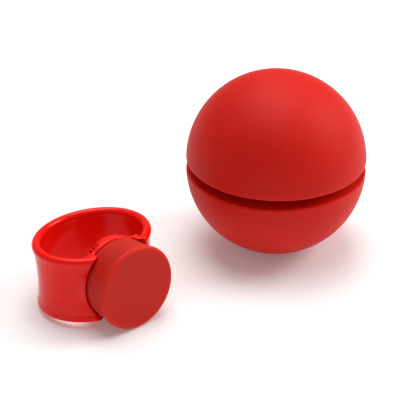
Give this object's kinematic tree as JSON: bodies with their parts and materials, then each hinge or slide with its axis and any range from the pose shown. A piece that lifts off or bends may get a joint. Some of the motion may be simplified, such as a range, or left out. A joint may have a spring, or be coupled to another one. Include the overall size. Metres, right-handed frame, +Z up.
{
  "type": "watch case opening friction ball and ring set",
  "caption": "Slotted silicone friction ball made of two caps on a stiff core, with an oval finger ring carrying a round friction pad, for turning screwed watch case backs.",
  "frame": {"origin": "centre of the flat foot under the ball, on the surface the set stands on", "axes": "+Z up through the ball's poles; +X away from the ring, along the row's length and the ring's long oval axis; the ring's friction pad faces -Y"},
  "size_m": [0.0981, 0.05, 0.0511],
  "materials": {
    "silicone_red": "matte moulded silicone",
    "gloss_red": "polished moulded plastic",
    "core_plastic": "moulded, satin",
    "insert_brass": "turned",
    "screw_steel": "zinc plated"
  },
  "bodies": {
    "lower_half": {"lower_friction_cap": "silicone_red", "lower_core": "core_plastic", "core_spacer": "core_plastic", "core_screw": "screw_steel"},
    "upper_half": {"upper_friction_cap": "silicone_red", "upper_core": "core_plastic", "core_insert": "insert_brass"},
    "finger_ring": {"ring_band": "gloss_red"},
    "pad_unit": {"friction_pad": "silicone_red", "pad_carrier": "core_plastic"},
    "retainer": {"retaining_disc": "gloss_red"}
  },
  "joints": [
    {"name": "upper_half_lift", "type": "slide", "parent": "lower_half", "child": "upper_half", "axis": [0, 0, 1], "range_m": [0, 0.03]},
    {"name": "ring_lift", "type": "slide", "parent": "lower_half", "child": "finger_ring", "axis": [0, 0, 1], "range_m": [0, 0.06]},
    {"name": "pad_pull", "type": "slide", "parent": "finger_ring", "child": "pad_unit", "axis": [0, -0.9973, 0.0729], "range_m": [0, 0.008]},
    {"name": "retainer_turn", "type": "hinge", "parent": "finger_ring", "child": "retainer", "pos_m": [-0.0565, 0.00312, 0.01081], "axis": [0, -0.9973, 0.0729], "range_deg": [0, 450]}
  ]
}
